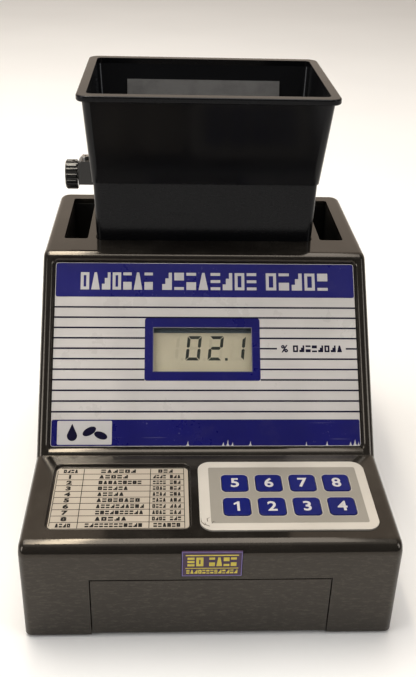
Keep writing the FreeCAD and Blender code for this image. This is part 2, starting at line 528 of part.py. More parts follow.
E_LOW, E_HIGH = NECK_TOP + 10.0, NECK_TOP + 38.0
plate = prism_x([wall_point(E_LOW, 0.05), wall_point(E_HIGH, 0.05),
                 wall_point(E_HIGH, 0.9), wall_point(E_LOW, 0.9)], -42, 42)
e_screws = []
for x in (-32.0, 32.0):
    y0, z0 = wall_point(NECK_TOP + 24.0, 0.9)
    into = (0, -rise / slant, -run / slant)
    e_screws.append(screw(2.6, 1.2, 1.2, 2.0, (x, y0, z0), into))
    hole = Part.makeCylinder(1.2, 4.0, V(x, y0, z0) - V(*into) * 2.0, V(*into))
    plate = plate.cut(hole)
flip = [s.mirror(V(0, HOP_Y, 0), V(0, 1, 0)) for s in e_screws]
for s in e_screws + flip:
    funnel = funnel.cut(s)
parts["hopper_funnel"] = funnel
parts["electrode_front"] = plate
parts["electrode_rear"] = plate.mirror(V(0, HOP_Y, 0), V(0, 1, 0))
parts["electrode_screws"] = Part.makeCompound(e_screws + flip)

# neck that carries the gate, with tabs under the top deck
NECK_LOW = Z_TOP - 11.5
neck = loft((56.8, 25.2, HOP_Y, NECK_LOW, 3.5), (NECK_HX, NECK_HY, HOP_Y, NECK_TOP, 3.5))
tab = box(-40, 40, HOP_Y - 36.0, HOP_Y + 36.0, NECK_LOW, NECK_LOW + 2.45)
neck = neck.fuse(tab)
neck = neck.cut(loft((THROAT_HX, THROAT_HY, HOP_Y, NECK_LOW - 1, 2.0),
                     (THROAT_HX, THROAT_HY, HOP_Y, NECK_TOP + 1, 2.0)))
neck = neck.cut(cyl(BUSH_R, (-60, HOP_Y, GATE_Z), (-50, HOP_Y, GATE_Z)))
neck = neck.cut(cyl(BUSH_R, (50, HOP_Y, GATE_Z), (57.1, HOP_Y, GATE_Z)))
for x, y in NECK_SCREWS:
    neck = neck.cut(cyl(1.3, (x, y, NECK_LOW - 1), (x, y, NECK_LOW + 4)))
parts["hopper_neck"] = neck.removeSplitter()

# ---------------------------------------------------------------- gate
parts["gate_shaft"] = cyl(SHAFT_R, (-72.0, HOP_Y, GATE_Z), (56.9, HOP_Y, GATE_Z))
flap = round_box(-54.1, 54.1, HOP_Y - 22.4, HOP_Y + 22.4, GATE_Z - 1, GATE_Z + 1, 2.2)
flap = flap.fuse(cyl(4.2, (-54.1, HOP_Y, GATE_Z), (54.1, HOP_Y, GATE_Z)))
flap = flap.cut(cyl(SHAFT_R, (-60, HOP_Y, GATE_Z), (60, HOP_Y, GATE_Z)))
parts["gate_flap"] = flap
bush = cyl(BUSH_R, (54.5, HOP_Y, GATE_Z), (57.05, HOP_Y, GATE_Z))
parts["shaft_bush_right"] = bush.cut(cyl(SHAFT_R + RUN_FIT, (50, HOP_Y, GATE_Z), (60, HOP_Y, GATE_Z)))

# bearing block on the left wall, with its clamp screw
BLOCK_X0, BLOCK_X1 = -66.9, -58.95
BLOCK_TOP = GATE_Z + 9.0
block = box(BLOCK_X0, BLOCK_X1, HOP_Y - 6.0, HOP_Y + 6.0, GATE_Z - 3.9, BLOCK_TOP)
outer_top = [e for e in block.Edges
             if e.CenterOfMass.x < BLOCK_X0 + 0.1 and e.CenterOfMass.z > BLOCK_TOP - 0.1]
block = block.makeChamfer(1.8, outer_top)
block = block.fuse(cyl(BUSH_R, (BLOCK_X1 - 0.1, HOP_Y, GATE_Z), (-54.5, HOP_Y, GATE_Z)))
block = block.cut(cyl(SHAFT_R + RUN_FIT, (-70, HOP_Y, GATE_Z), (-50, HOP_Y, GATE_Z)))
SCREW_X = -63.2
block = block.cut(cyl(1.0, (SCREW_X, HOP_Y, BLOCK_TOP - 5.2), (SCREW_X, HOP_Y, BLOCK_TOP + 1)))
parts["gate_block"] = block.removeSplitter()
parts["block_screw"] = screw(1.75, 1.2, 1.0, 5.0, (SCREW_X, HOP_Y, BLOCK_TOP), (0, 0, -1))

# fluted knob with a set screw
KNOB_X0, KNOB_X1 = -73.8, -67.3
knob = cyl(7.8, (KNOB_X0, HOP_Y, GATE_Z), (KNOB_X1, HOP_Y, GATE_Z))
knob = knob.makeChamfer(0.7, [e for e in knob.Edges if e.BoundBox.XLength < 0.01])
for i in range(16):
    a = math.radians(22.5 * i)
    y = HOP_Y + 8.3 * math.cos(a)
    z = GATE_Z + 8.3 * math.sin(a)
    knob = knob.cut(cyl(1.1, (KNOB_X0 - 1, y, z), (KNOB_X1 + 1, y, z)))
knob = knob.cut(cyl(SHAFT_R, (-72.0, HOP_Y, GATE_Z), (-60, HOP_Y, GATE_Z)))
GRUB_X = -69.6
knob = knob.cut(cyl(0.9, (GRUB_X, HOP_Y, GATE_Z), (GRUB_X, HOP_Y, GATE_Z + 9)))
parts["knob"] = knob.removeSplitter()
grub = cyl(0.9, (GRUB_X, HOP_Y, GATE_Z + SHAFT_R + 0.2), (GRUB_X, HOP_Y, GATE_Z + 6.8))
grub = grub.cut(box(GRUB_X - 0.25, GRUB_X + 0.25, HOP_Y - 2, HOP_Y + 2, GATE_Z + 6.2, GATE_Z + 8))
parts["knob_set_screw"] = grub

# ---------------------------------------------------------------- chute from neck to drawer
CHUTE_TOP = NECK_LOW - 0.05
CHUTE_LOW = 36.5
OUT_Y = -8.0
chute = loft((48.0, 22.0, OUT_Y, CHUTE_LOW, 4.0), (56.6, 25.0, HOP_Y, CHUTE_TOP, 4.0))
chute = chute.fuse(box(-40, 40, HOP_Y - 36.0, HOP_Y + 36.0, CHUTE_TOP - 2.4, CHUTE_TOP))
chute = chute.cut(loft((46.0, 20.0, OUT_Y, CHUTE_LOW, 3.0), (THROAT_HX, THROAT_HY, HOP_Y, CHUTE_TOP, 3.0)))
for x, y in NECK_SCREWS:
    chute = chute.cut(cyl(1.3, (x, y, CHUTE_TOP - 5), (x, y, CHUTE_TOP + 1)))
parts["chute"] = chute.removeSplitter()
parts["neck_screws"] = Part.makeCompound(
    [screw(2.6, 1.6, 1.3, 10.5, (x, y, CHUTE_TOP - 2.4), (0, 0, 1)) for x, y in NECK_SCREWS])

# ---------------------------------------------------------------- sample drawer and its rails
drawer = box(-DRAWER_HX, DRAWER_HX, Y_FRONT + WALL, DRAWER_BACK, DRAWER_Z0, DRAWER_Z1)
drawer = drawer.cut(box(-DRAWER_HX + 2, DRAWER_HX - 2, Y_FRONT + WALL + 1.5, DRAWER_BACK - 2,
                        DRAWER_Z0 + 2, DRAWER_Z1 + 1))
front = box(-FRONT_HX, FRONT_HX, Y_FRONT, Y_FRONT + WALL + 0.1, FRONT_Z0, FRONT_Z1)
front = front.makeFillet(0.5, [e for e in front.Edges if e.BoundBox.YMax < Y_FRONT + 0.01])
drawer = drawer.fuse(front)
for sx in (-1, 1):
    x0, x1 = sorted((sx * (DRAWER_HX - 0.5), sx * 51.8))
    drawer = drawer.fuse(box(x0, x1, 18.0, DRAWER_BACK, 16.0, 22.0))
parts["sample_drawer"] = drawer.removeSplitter()


def rail():
    guide = box(50.3, 52.3, -106.8, 26.0, 4.5, 14.5)
    ledge = box(46.0, 50.5, -106.8, 26.0, 4.5, 5.1)
    foot = box(52.2, 57.0, -106.8, 26.0, 4.5, 6.0)
    stop = box(50.3, 52.3, -92.0, -88.5, 14.0, 23.0)
    return fuse([guide, ledge, foot, stop])


parts["drawer_rail_right"] = rail()
parts["drawer_rail_left"] = mirrored(rail())

# ---------------------------------------------------------------- write every piece
os.makedirs("parts", exist_ok=True)
for name, shape in parts.items():
    shape.exportStep("parts/%s.step" % name)
print(len(parts), "parts written")
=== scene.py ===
"""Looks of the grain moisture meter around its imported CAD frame.

Metres, +Z up, front towards -Y. Printed artwork is laid out in millimetres on the CAD faces that carry it.
"""

import json
import math
import random

import bmesh
import bpy
from mathutils import Matrix, Vector


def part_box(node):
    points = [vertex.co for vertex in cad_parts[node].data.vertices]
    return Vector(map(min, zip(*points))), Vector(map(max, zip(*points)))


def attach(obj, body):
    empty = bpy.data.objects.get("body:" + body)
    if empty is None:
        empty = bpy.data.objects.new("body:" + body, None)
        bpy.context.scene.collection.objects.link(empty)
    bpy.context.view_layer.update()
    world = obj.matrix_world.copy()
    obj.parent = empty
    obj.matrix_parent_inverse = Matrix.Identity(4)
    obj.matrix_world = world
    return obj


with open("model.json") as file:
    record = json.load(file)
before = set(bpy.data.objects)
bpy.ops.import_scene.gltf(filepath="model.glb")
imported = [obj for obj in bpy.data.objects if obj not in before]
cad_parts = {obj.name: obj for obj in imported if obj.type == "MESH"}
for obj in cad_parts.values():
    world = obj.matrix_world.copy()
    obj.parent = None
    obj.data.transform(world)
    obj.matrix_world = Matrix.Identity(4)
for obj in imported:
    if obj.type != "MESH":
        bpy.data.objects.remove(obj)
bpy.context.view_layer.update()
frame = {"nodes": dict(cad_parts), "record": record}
NODES = frame["nodes"]
MM = 0.001
INK = 0.04 * MM          # thickness of a printed layer


# ---------------------------------------------------------------- materials
class Nodes:
    """Small helper that adds and links shader nodes of one material."""

    def __init__(self, name):
        self.mat = bpy.data.materials.new(name)
        self.mat.use_nodes = True
        self.tree = self.mat.node_tree
        self.tree.nodes.clear()
        self.out = self.add("ShaderNodeOutputMaterial")
        self.bsdf = self.add("ShaderNodeBsdfPrincipled")
        self.link(self.bsdf.outputs[0], self.out.inputs[0])
        self.coord = self.add("ShaderNodeTexCoord").outputs["Object"]

    def add(self, kind, **values):
        node = self.tree.nodes.new(kind)
        for key, value in values.items():
            setattr(node, key, value)
        return node

    def link(self, a, b):
        self.tree.links.new(a, b)

    def set(self, **values):
        for key, value in values.items():
            self.bsdf.inputs[key.replace("_", " ")].default_value = value

    def noise(self, scale, detail=3.0, stretch=(1, 1, 1), turn=(0, 0, 0), rough=0.5):
        mapping = self.add("ShaderNodeMapping")
        mapping.inputs["Scale"].default_value = stretch
        mapping.inputs["Rotation"].default_value = turn
        self.link(self.coord, mapping.inputs["Vector"])
        node = self.add("ShaderNodeTexNoise")
        node.inputs["Scale"].default_value = scale
        node.inputs["Detail"].default_value = detail
        node.inputs["Roughness"].default_value = rough
        self.link(mapping.outputs[0], node.inputs["Vector"])
        return node.outputs["Fac"]

    def ramp(self, source, low, high, to_low=0.0, to_high=1.0):
        node = self.add("ShaderNodeMapRange", clamp=True)
        for key, value in (("From Min", low), ("From Max", high), ("To Min", to_low), ("To Max", to_high)):
            node.inputs[key].default_value = value
        self.link(source, node.inputs["Value"])
        return node.outputs[0]

    def math(self, operation, a, b):
        node = self.add("ShaderNodeMath", operation=operation)
        for i, value in enumerate((a, b)):
            if isinstance(value, (int, float)):
                node.inputs[i].default_value = value
            else:
                self.link(value, node.inputs[i])
        return node.outputs[0]

    def mix(self, factor, a, b):
        node = self.add("ShaderNodeMix", data_type="RGBA")
        self.link(factor, node.inputs[0])
        for i, value in ((6, a), (7, b)):
            if isinstance(value, tuple):
                node.inputs[i].default_value = (*value, 1.0)
            else:
                self.link(value, node.inputs[i])
        return node.outputs[2]

    def bump(self, height, distance, strength=1.0, normal=None):
        node = self.add("ShaderNodeBump")
        node.inputs["Strength"].default_value = strength
        node.inputs["Distance"].default_value = distance
        self.link(height, node.inputs["Height"])
        if normal is not None:
            self.link(normal, node.inputs["Normal"])
        return node.outputs[0]

    def facing_up(self, low, high):
        """0 to 1 as the surface turns from upright to level."""
        geometry = self.add("ShaderNodeNewGeometry")
        split = self.add("ShaderNodeSeparateXYZ")
        self.link(geometry.outputs["Normal"], split.inputs[0])
        return self.ramp(self.math("ABSOLUTE", split.outputs["Z"], 0.0), low, high)

    def hairlines(self, amount):
        """Thin crossing scratches in a few patches, 0 to `amount`."""
        across = self.ramp(self.noise(5, 2, (260, 3, 260), (0, 0, 0.4)), 0.70, 0.73)
        along = self.ramp(self.noise(5, 2, (3, 300, 300), (0, 0.3, -0.25)), 0.70, 0.73)
        patches = self.ramp(self.noise(30, 2), 0.48, 0.62, 0.0, amount)
        return self.math("MULTIPLY", self.math("MAXIMUM", across, along), patches)

    def edge_mask(self, radius):
        """1 near sharp edges, 0 on flat faces."""
        geometry = self.add("ShaderNodeNewGeometry")
        bevel = self.add("ShaderNodeBevel", samples=4)
        bevel.inputs["Radius"].default_value = radius
        dot = self.add("ShaderNodeVectorMath", operation="DOT_PRODUCT")
        self.link(geometry.outputs["Normal"], dot.inputs[0])
        self.link(bevel.outputs[0], dot.inputs[1])
        return self.ramp(dot.outputs["Value"], 0.995, 0.90)


def scaled(colour, factor):
    return tuple(min(1.0, c * factor) for c in colour)


def moulded(name, colour, rough, wall_rough=None, wall_fleck=4.5, grain=0.25, grain_scale=1800, dust=0.10,
            scratches=0.0, specular=0.5, tint=(1.0, 1.0, 1.0), edge=0.25, round_edge=0.35, mottle=0.18):
    """Moulded plastic: surface grain, uneven gloss, dust on level faces, and edges lightened partly as
    rubbing wear and partly as a painted gloss highlight.

    wall_rough gives upright faces a coarser, duller finish than the level and sloping ones."""
    n = Nodes(name)
    cloudy = n.noise(22, 4)
    base = n.mix(n.ramp(cloudy, 0.3, 0.7), scaled(colour, 1 - mottle), scaled(colour, 1 + mottle))
    if edge:
        # edges lightened in patches: partly rubbing wear, partly a painted gloss highlight
        rubbed_and_highlit = n.math("MULTIPLY", n.edge_mask(0.5 * MM), n.ramp(n.noise(160, 4), 0.42, 0.66, 0.15, 1.0))
        base = n.mix(n.math("MULTIPLY", rubbed_and_highlit, edge), base, (0.12, 0.11, 0.10))
    if dust:
        specks = n.ramp(n.noise(2600, 2), 0.64, 0.76)
        haze = n.ramp(n.noise(48, 5, rough=0.65), 0.45, 0.75, 0.0, 0.4)
        film = n.math("MULTIPLY", n.math("ADD", specks, haze), n.facing_up(0.55, 0.95))
        base = n.mix(n.math("MULTIPLY", film, dust), base, (0.34, 0.30, 0.25))
    gloss = n.ramp(n.noise(35, 5, rough=0.6), 0.3, 0.75, rough * 0.75, rough * 1.3)
    fine = n.noise(grain_scale, 2)
    if wall_rough is not None:
        level = n.facing_up(0.05, 0.30)
        streaks = n.ramp(n.noise(330, 4, (1, 1, 3.5), (0, 0.25, 0), rough=0.75), 0.50, 0.74, 0.0, 1.0)
        on_walls = n.math("MULTIPLY", streaks, n.math("SUBTRACT", 1.0, level))
        base = n.mix(on_walls, base, scaled(colour, wall_fleck))
        upright = n.ramp(n.noise(60, 5, rough=0.6), 0.3, 0.75, wall_rough * 0.85, wall_rough * 1.2)
        shift = n.math("MULTIPLY", n.math("SUBTRACT", gloss, upright), level)
        gloss = n.math("ADD", upright, shift)
        fine = n.math("MULTIPLY", fine, n.math("SUBTRACT", 1.08, level))
    if scratches:
        gloss = n.math("ADD", gloss, n.hairlines(scratches))
    n.link(base, n.bsdf.inputs["Base Color"])
    n.link(gloss, n.bsdf.inputs["Roughness"])
    bevel = n.add("ShaderNodeBevel", samples=4)
    bevel.inputs["Radius"].default_value = round_edge * MM
    waves = n.bump(n.noise(110, 2), 0.05 * MM, 0.16, bevel.outputs[0])
    n.link(n.bump(fine, 0.02 * MM, grain, waves), n.bsdf.inputs["Normal"])
    n.set(Specular_IOR_Level=specular, Specular_Tint=(*tint, 1.0))
    return n.mat


def printed(name, colour, rough=0.34, fade=0.10, grime=0.05, coat=0.0, scuffs=0.0, specular=0.5):
    """Ink or film: slightly uneven colour, handling marks in the gloss, faint film texture."""
    n = Nodes(name)
    base = n.mix(n.ramp(n.noise(30, 4), 0.3, 0.7), scaled(colour, 1 - fade), scaled(colour, 1 + fade * 0.5))
    stains = n.ramp(n.noise(70, 6, rough=0.7), 0.56, 0.80)
    base = n.mix(n.math("MULTIPLY", stains, grime), base, (0.22, 0.19, 0.15))
    if scuffs:
        base = n.mix(n.hairlines(scuffs), base, (0.30, 0.30, 0.40))
    n.link(base, n.bsdf.inputs["Base Color"])
    n.link(n.ramp(n.noise(45, 5, rough=0.65), 0.3, 0.75, rough * 0.8, rough * 1.35),
           n.bsdf.inputs["Roughness"])
    n.link(n.bump(n.noise(900, 2), 0.015 * MM, 0.25), n.bsdf.inputs["Normal"])
    n.set(Coat_Weight=coat, Coat_Roughness=0.12, Specular_IOR_Level=specular)
    return n.mat


def metal(name, colour, rough, stretch=(1, 1, 1), tarnish=0.25):
    """Turned, drawn or plated metal with fine directional marks."""
    n = Nodes(name)
    marks = n.noise(420, 3, stretch)
    dull = n.ramp(n.noise(120, 5), 0.45, 0.75)
    base = n.mix(n.math("MULTIPLY", dull, tarnish), colour, scaled(colour, 0.45))
    n.link(base, n.bsdf.inputs["Base Color"])
    n.link(n.ramp(marks, 0.25, 0.75, rough * 0.7, rough * 1.4), n.bsdf.inputs["Roughness"])
    n.link(n.bump(marks, 0.02 * MM, 0.5), n.bsdf.inputs["Normal"])
    n.set(Metallic=1.0)
    return n.mat


def rubber(name, colour):
    n = Nodes(name)
    base = n.mix(n.ramp(n.noise(90, 5), 0.35, 0.7), scaled(colour, 0.8), scaled(colour, 1.4))
    n.link(base, n.bsdf.inputs["Base Color"])
    n.link(n.ramp(n.noise(300, 3), 0.3, 0.7, 0.62, 0.85), n.bsdf.inputs["Roughness"])
    n.link(n.bump(n.noise(1500, 3), 0.05 * MM, 0.5), n.bsdf.inputs["Normal"])
    return n.mat


def clear_window(name):
    """Clear acrylic sheet with faint smears."""
    n = Nodes(name)
    n.link(n.ramp(n.noise(60, 4), 0.4, 0.8, 0.03, 0.12), n.bsdf.inputs["Roughness"])
    n.link(n.bump(n.noise(25, 2), 0.02 * MM, 0.2), n.bsdf.inputs["Normal"])
    n.set(Base_Color=(0.93, 0.96, 0.95, 1.0), Transmission_Weight=1.0, IOR=1.10)
    return n.mat


def display_glass(name, colour):
    """Reflective liquid-crystal cell: greenish grey with a soft cloud and faint dark speckle."""
    n = Nodes(name)
    base = n.mix(n.ramp(n.noise(40, 3), 0.3, 0.7), scaled(colour, 0.92), scaled(colour, 1.05))
    speckle = n.ramp(n.noise(5200, 1), 0.45, 0.62, 0.0, 0.12)
    base = n.mix(speckle, base, scaled(colour, 0.7))
    n.link(base, n.bsdf.inputs["Base Color"])
    n.link(n.ramp(n.noise(80, 3), 0.3, 0.7, 0.28, 0.42), n.bsdf.inputs["Roughness"])
    return n.mat


def board_mask(name):
    """Green solder mask with darker tracks."""
    n = Nodes(name)
    tracks = n.add("ShaderNodeTexBrick")
    tracks.inputs["Scale"].default_value = 190
    tracks.inputs["Mortar Size"].default_value = 0.035
    n.link(n.coord, tracks.inputs["Vector"])
    base = n.mix(tracks.outputs["Fac"], (0.018, 0.10, 0.035), (0.03, 0.17, 0.06))
    n.link(base, n.bsdf.inputs["Base Color"])
    n.link(n.ramp(n.noise(200, 3), 0.3, 0.7, 0.3, 0.45), n.bsdf.inputs["Roughness"])
    n.link(n.bump(tracks.outputs["Fac"], 0.03 * MM, 0.4), n.bsdf.inputs["Normal"])
    return n.mat


NAVY = (0.0095, 0.0090, 0.130)
BLUE = (0.0050, 0.0045, 0.110)
KEY_BLUE = (0.0035, 0.0070, 0.110)
WHITE_FILM = (0.56, 0.535, 0.515)
CREAM = (0.41, 0.355, 0.285)
BLACK = (0.0110, 0.0095, 0.0080)
# reflection tints, not colours of the plastic: WARM tints the case's and drawer's reflections to stand in
# for warm room light, COOL tints the hopper's reflections towards a cool grey
WARM = (1.0, 0.90, 0.78)
COOL = (0.94, 0.96, 1.0)

MATS = {
    "case_plastic": moulded("black_case", BLACK, 0.11, 0.34, grain=0.9, scratches=0.12, dust=0.10, tint=WARM,
                            edge=0.12),
    "cover_plastic": moulded("black_cover", (0.016, 0.015, 0.014), 0.42, grain=0.6, grain_scale=1400),
    "hopper_plastic": moulded("black_hopper", (0.0035, 0.0036, 0.0042), 0.14, 0.20, wall_fleck=1.6,
                              grain=0.15, dust=0.05, scratches=0.15, tint=COOL, edge=0.12, specular=0.17),
    "drawer_plastic": moulded("black_drawer", BLACK, 0.16, 0.34, grain=0.9, dust=0.10, scratches=0.2,
                              tint=WARM, edge=0.12),
    "chute_plastic": moulded("grey_chute", (0.045, 0.045, 0.045), 0.45, dust=0.25),
    "knob_plastic": moulded("black_knob", (0.006, 0.006, 0.006), 0.20, edge=0.3, round_edge=0.25, dust=0.05),
    "component_black": moulded("black_component", (0.014, 0.014, 0.015), 0.40, dust=0.0),
    "overlay_print": printed("white_overlay_film", WHITE_FILM, 0.30, coat=0.10, grime=0.08),
    "keypad_print": printed("white_keypad_film", (0.52, 0.485, 0.43), 0.38, grime=0.12),
    "key_blue": printed("blue_key", KEY_BLUE, 0.36, fade=0.15, grime=0.05, specular=0.14),
    "label_print": printed("cream_label", CREAM, 0.45, grime=0.15),
    "badge_print": printed("dark_badge", (0.050, 0.022, 0.060), 0.34, specular=0.35),
    "window_clear": clear_window("clear_window"),
    "lcd": display_glass("lcd_grey", (0.640, 0.545, 0.405)),
    "circuit_board": board_mask("green_board"),
    "connector_white": moulded("white_connector", (0.62, 0.60, 0.54), 0.4, dust=0.0, edge=0.0),
    "rubber_black": rubber("black_rubber", (0.02, 0.02, 0.02)),
    "silicone_strip": rubber("pink_silicone", (0.55, 0.25, 0.28)),
    "screw_steel": metal("zinc_steel", (0.56, 0.55, 0.54), 0.30),
    "stainless": metal("brushed_stainless", (0.36, 0.355, 0.35), 0.34, (1, 60, 60), tarnish=0.4),
    "brass_bush": metal("turned_brass", (0.70, 0.50, 0.22), 0.30),
    "contact_nickel": metal("nickel_strip", (0.65, 0.62, 0.55), 0.25),
    "battery_wrap": printed("battery_sleeve", (0.06, 0.12, 0.26), 0.22, coat=0.5),
}
INKS = {
    "navy": printed("navy_ink", NAVY, 0.30, fade=0.12, coat=0.05, scuffs=0.55, specular=0.35),
    "blue": printed("blue_ink", BLUE, 0.30, fade=0.18, coat=0.05, scuffs=0.35, specular=0.35),
    "line": printed("thin_line_ink", (0.005, 0.004, 0.022), 0.32, specular=0.2),
    "white": printed("white_ink", (0.52, 0.505, 0.50), 0.34, grime=0.03),
    "grey": printed("grey_field_ink", (0.255, 0.235, 0.200), 0.40),
    "ring": printed("key_outline_ink", (0.36, 0.335, 0.32), 0.40),
    "black": printed("black_ink", (0.006, 0.005, 0.004), 0.45, specular=0.12),
    "yellow": printed("yellow_ink", (0.60, 0.49, 0.055), 0.36),
    "violet": printed("violet_border_ink", (0.155, 0.120, 0.330), 0.34),
    "segment": printed("lcd_dark", (0.030, 0.034, 0.026), 0.40),
    "ghost": printed("lcd_ghost", (0.590, 0.500, 0.370), 0.40),
    "rim": printed("cut_film_edge", (0.16, 0.16, 0.20), 0.30),
    # painted shade: bluish-grey band standing in for the shadow and reflection of the display window's upper
    # edge
    "top_shade": printed("lcd_painted_top_shade", (0.085, 0.100, 0.120), 0.35),
    "grime": printed("grime_mark", (0.055, 0.040, 0.028), 0.60),
}

slot_of = {s["node"]: s["material_slot"] for s in frame["record"]["subparts"]}
for node_name, node in NODES.items():
    for index in range(len(node.data.materials)):
        node.data.materials[index] = MATS[slot_of[node_name]]


# ---------------------------------------------------------------- faces that carry artwork
def art_face(node_name, towards):
    """Matrix of a node's outer face: local x = +X, y up the face, origin at the middle of its lower edge."""
    towards = Vector(towards).normalized()
    mesh = NODES[node_name].data
    facing = [p for p in mesh.polygons if p.normal.dot(towards) > 0.9]
    largest = max(facing, key=lambda p: p.area)
    normal = largest.normal.normalized()
    u = Vector((1, 0, 0))
    v = normal.cross(u)
    height = max(mesh.vertices[i].co.dot(normal) for p in facing for i in p.vertices)
    points = [mesh.vertices[i].co for p in facing for i in p.vertices
              if abs(mesh.vertices[i].co.dot(normal) - height) < 0.05 * MM]
    xs = [p.dot(u) for p in points]
    ys = [p.dot(v) for p in points]
    origin = u * ((min(xs) + max(xs)) / 2) + v * min(ys) + normal * height
    basis = Matrix((u, v, normal)).transposed().to_4x4()
    basis.translation = origin
    return basis


def make(name, mesh, ink, body):
    """Add a mesh to the scene with one ink, riding on a body."""
    obj = bpy.data.objects.new(name, mesh)
    bpy.context.scene.collection.objects.link(obj)
    obj.data.materials.clear()
    obj.data.materials.append(ink)
    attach(obj, body)
    return obj


def slab(name, shapes, face, ink, body="case", lift=0.0, thick=INK):
    """Thin printed layer. shapes: list of [outline, hole, ...] in millimetres on the face."""
    mesh = bpy.data.meshes.new(name)
    bm = bmesh.new()
    for loops in shapes:
        edges = []
        for loop in loops:
            verts = [bm.verts.new((x * MM, y * MM, lift)) for x, y in loop]
            edges += [bm.edges.new((verts[i - 1], verts[i])) for i in range(len(verts))]
        filled = bmesh.ops.triangle_fill(bm, edges=edges, use_beauty=True, normal=(0, 0, 1))
        faces = [f for f in filled["geom"] if isinstance(f, bmesh.types.BMFace)]
        grown = bmesh.ops.extrude_face_region(bm, geom=faces)
        top = [v for v in grown["geom"] if isinstance(v, bmesh.types.BMVert)]
        bmesh.ops.translate(bm, verts=top, vec=(0, 0, thick))
    bmesh.ops.recalc_face_normals(bm, faces=bm.faces)
    bmesh.ops.transform(bm, matrix=face, verts=bm.verts)
    bm.to_mesh(mesh)
    bm.free()
    return make(name, mesh, ink, body)


def rect(x0, y0, x1, y1):
    return [(x0, y0), (x1, y0), (x1, y1), (x0, y1)]


def round_rect(x0, y0, x1, y1, r, steps=6):
    """Outline with corners of radius r, in `steps` straight pieces each."""
    out = []
    corners = ((x1 - r, y0 + r, -90), (x1 - r, y1 - r, 0), (x0 + r, y1 - r, 90), (x0 + r, y0 + r, 180))
    for cx, cy, start in corners:
        for i in range(steps + 1):
            a = math.radians(start + 90 * i / steps)
            out.append((cx + r * math.cos(a), cy + r * math.sin(a)))
    return out


def square(x, y, half, r):
    """Rounded square centred on (x, y)."""
    return round_rect(x - half, y - half, x + half, y + half, r)


def ellipse(cx, cy, rx, ry, turn=0.0, steps=20):
    """Ellipse with its long axis turned by `turn` radians."""
    out = []
    for i in range(steps):
        a = 2 * math.pi * i / steps
        x, y = rx * math.cos(a), ry * math.sin(a)
        out.append((cx + x * math.cos(turn) - y * math.sin(turn),
                    cy + x * math.sin(turn) + y * math.cos(turn)))
    return out


def digits(name, text, x, y, height, face, ink, body="case", lift=0.0, bold=0.0, wide=1.0,
           thick=INK):
    """Figures from the built-in sans face, centred on (x, y), turned into a mesh."""
    curve = bpy.data.curves.new(name + "_curve", "FONT")
    curve.body = text
    curve.align_x = "CENTER"
    curve.align_y = "CENTER"
    curve.size = height * MM / 0.72
    curve.offset = bold * MM
    curve.extrude = thick / 2
    curve.resolution_u = 4
    holder = bpy.data.objects.new(name + "_holder", curve)
    mesh = bpy.data.meshes.new_from_object(holder)
    bpy.data.objects.remove(holder)
    bpy.data.curves.remove(curve)
    mesh.name = name
    mesh.transform(Matrix.Translation((0, 0, thick / 2)))
    xs = [v.co.x for v in mesh.vertices]
    ys = [v.co.y for v in mesh.vertices]
    centre = Vector(((min(xs) + max(xs)) / 2, (min(ys) + max(ys)) / 2, 0))
    stretch = Matrix.Diagonal((wide, 1.0, 1.0, 1.0))
    place = Matrix.Translation((x * MM, y * MM, lift))
    mesh.transform(face @ place @ stretch @ Matrix.Translation(-centre))
    return make(name, mesh, ink, body)


def mark(kind, x0, x1, y0, y1, t):
    """One abstract printer's mark: bars, frames, blocks, steps or a wedge; none is a letter."""
    middle = (y0 + y1) / 2
    if kind == 0:
        gap = (y1 - y0 - 3 * t) / 2
        return [[rect(x0, y0 + j * (t + gap), x1, y0 + j * (t + gap) + t)] for j in range(3)]
    if kind == 1:
        return [[rect(x0, y0, x1, y1), rect(x0 + t, y0 + t, x1 - t, y1 - t)]]
    if kind == 2:
        return [[rect(x0, middle + t * 0.3, x1, y1)], [rect(x0, y0, x1, y0 + t)]]
    if kind == 3:
        return [[rect(x0, y0, x1, middle - t * 0.3)], [rect(x0, y1 - t, x1, y1)]]
    if kind == 4:
        third = (x1 - x0) / 3
        rise = (y1 - y0) / 3
        return [[[(x0, y0), (x1, y0), (x1, y1), (x1 - third, y1), (x1 - third, y1 - rise),
                  (x0 + third, y1 - rise), (x0 + third, y0 + rise), (x0, y0 + rise)]]]
    centre = x0 * 0.5 + x1 * 0.5
    return [[[(x0, y0), (x1, y0), (centre + t * 0.4, y1), (centre - t * 0.4, y1)]]]


ALL_KINDS = (0, 1, 2, 3, 4, 5)
SOLID_KINDS = (1, 2, 3, 4, 5)


def marks(count, x0, x1, y0, y1, stroke, seed, kinds=ALL_KINDS):
    """A row of abstract marks standing in for a word."""
    rng = random.Random(seed)
    pitch = (x1 - x0) / count
    gap = pitch * 0.20
    out = []
    previous = None
    for i in range(count):
        kind = rng.choice([k for k in kinds if k != previous])
        previous = kind
        x = x0 + i * pitch + gap / 2
        out += mark(kind, x, x + pitch - gap, y0, y1, stroke)
    return out


# ---------------------------------------------------------------- sloped panel artwork
PANEL_HALF = 76.4            # half width of the printed film
PANEL_HEIGHT = 93.8
FILM_RIM = 0.25              # white film left showing around the bands
TITLE_BAND_LOW = 75.8
LOWER_BAND_HIGH = 13.2
TITLE_LOW, TITLE_HIGH, TITLE_STROKE = 79.6, 88.7, 1.5
SURROUND = (-30.9, 32.6, 27.2, 64.7)
WINDOW = (-26.5, 37.4, 22.9, 59.8)
WINDOW_EDGE = (-26.8, 37.1, 23.2, 60.1)
LINE_COUNT, LINE_TOP, LINE_PITCH, LINE_HALF = 11, 70.4, 5.33, 0.42
UNIT_LINE = 4                # the line that the unit mark interrupts
UNIT_GAP = (35.8, 70.8)
ICON_BOX = (-73.3, 0.9, -46.6, 12.6, 0.6)
# place, width and height of each chip in the worn lower edge
CHIPS = ((-9.4, 1.8, 2.7), (8.0, 1.9, 2.0), (10.3, 1.7, 3.3), (12.6, 1.6, 2.0), (21.4, 1.9, 2.5),
         (49.2, 1.3, 2.2), (59.5, 1.6, 2.4), (71.2, 1.8, 2.2), (73.4, 2.0, 3.3), (75.2, 1.4, 2.2))


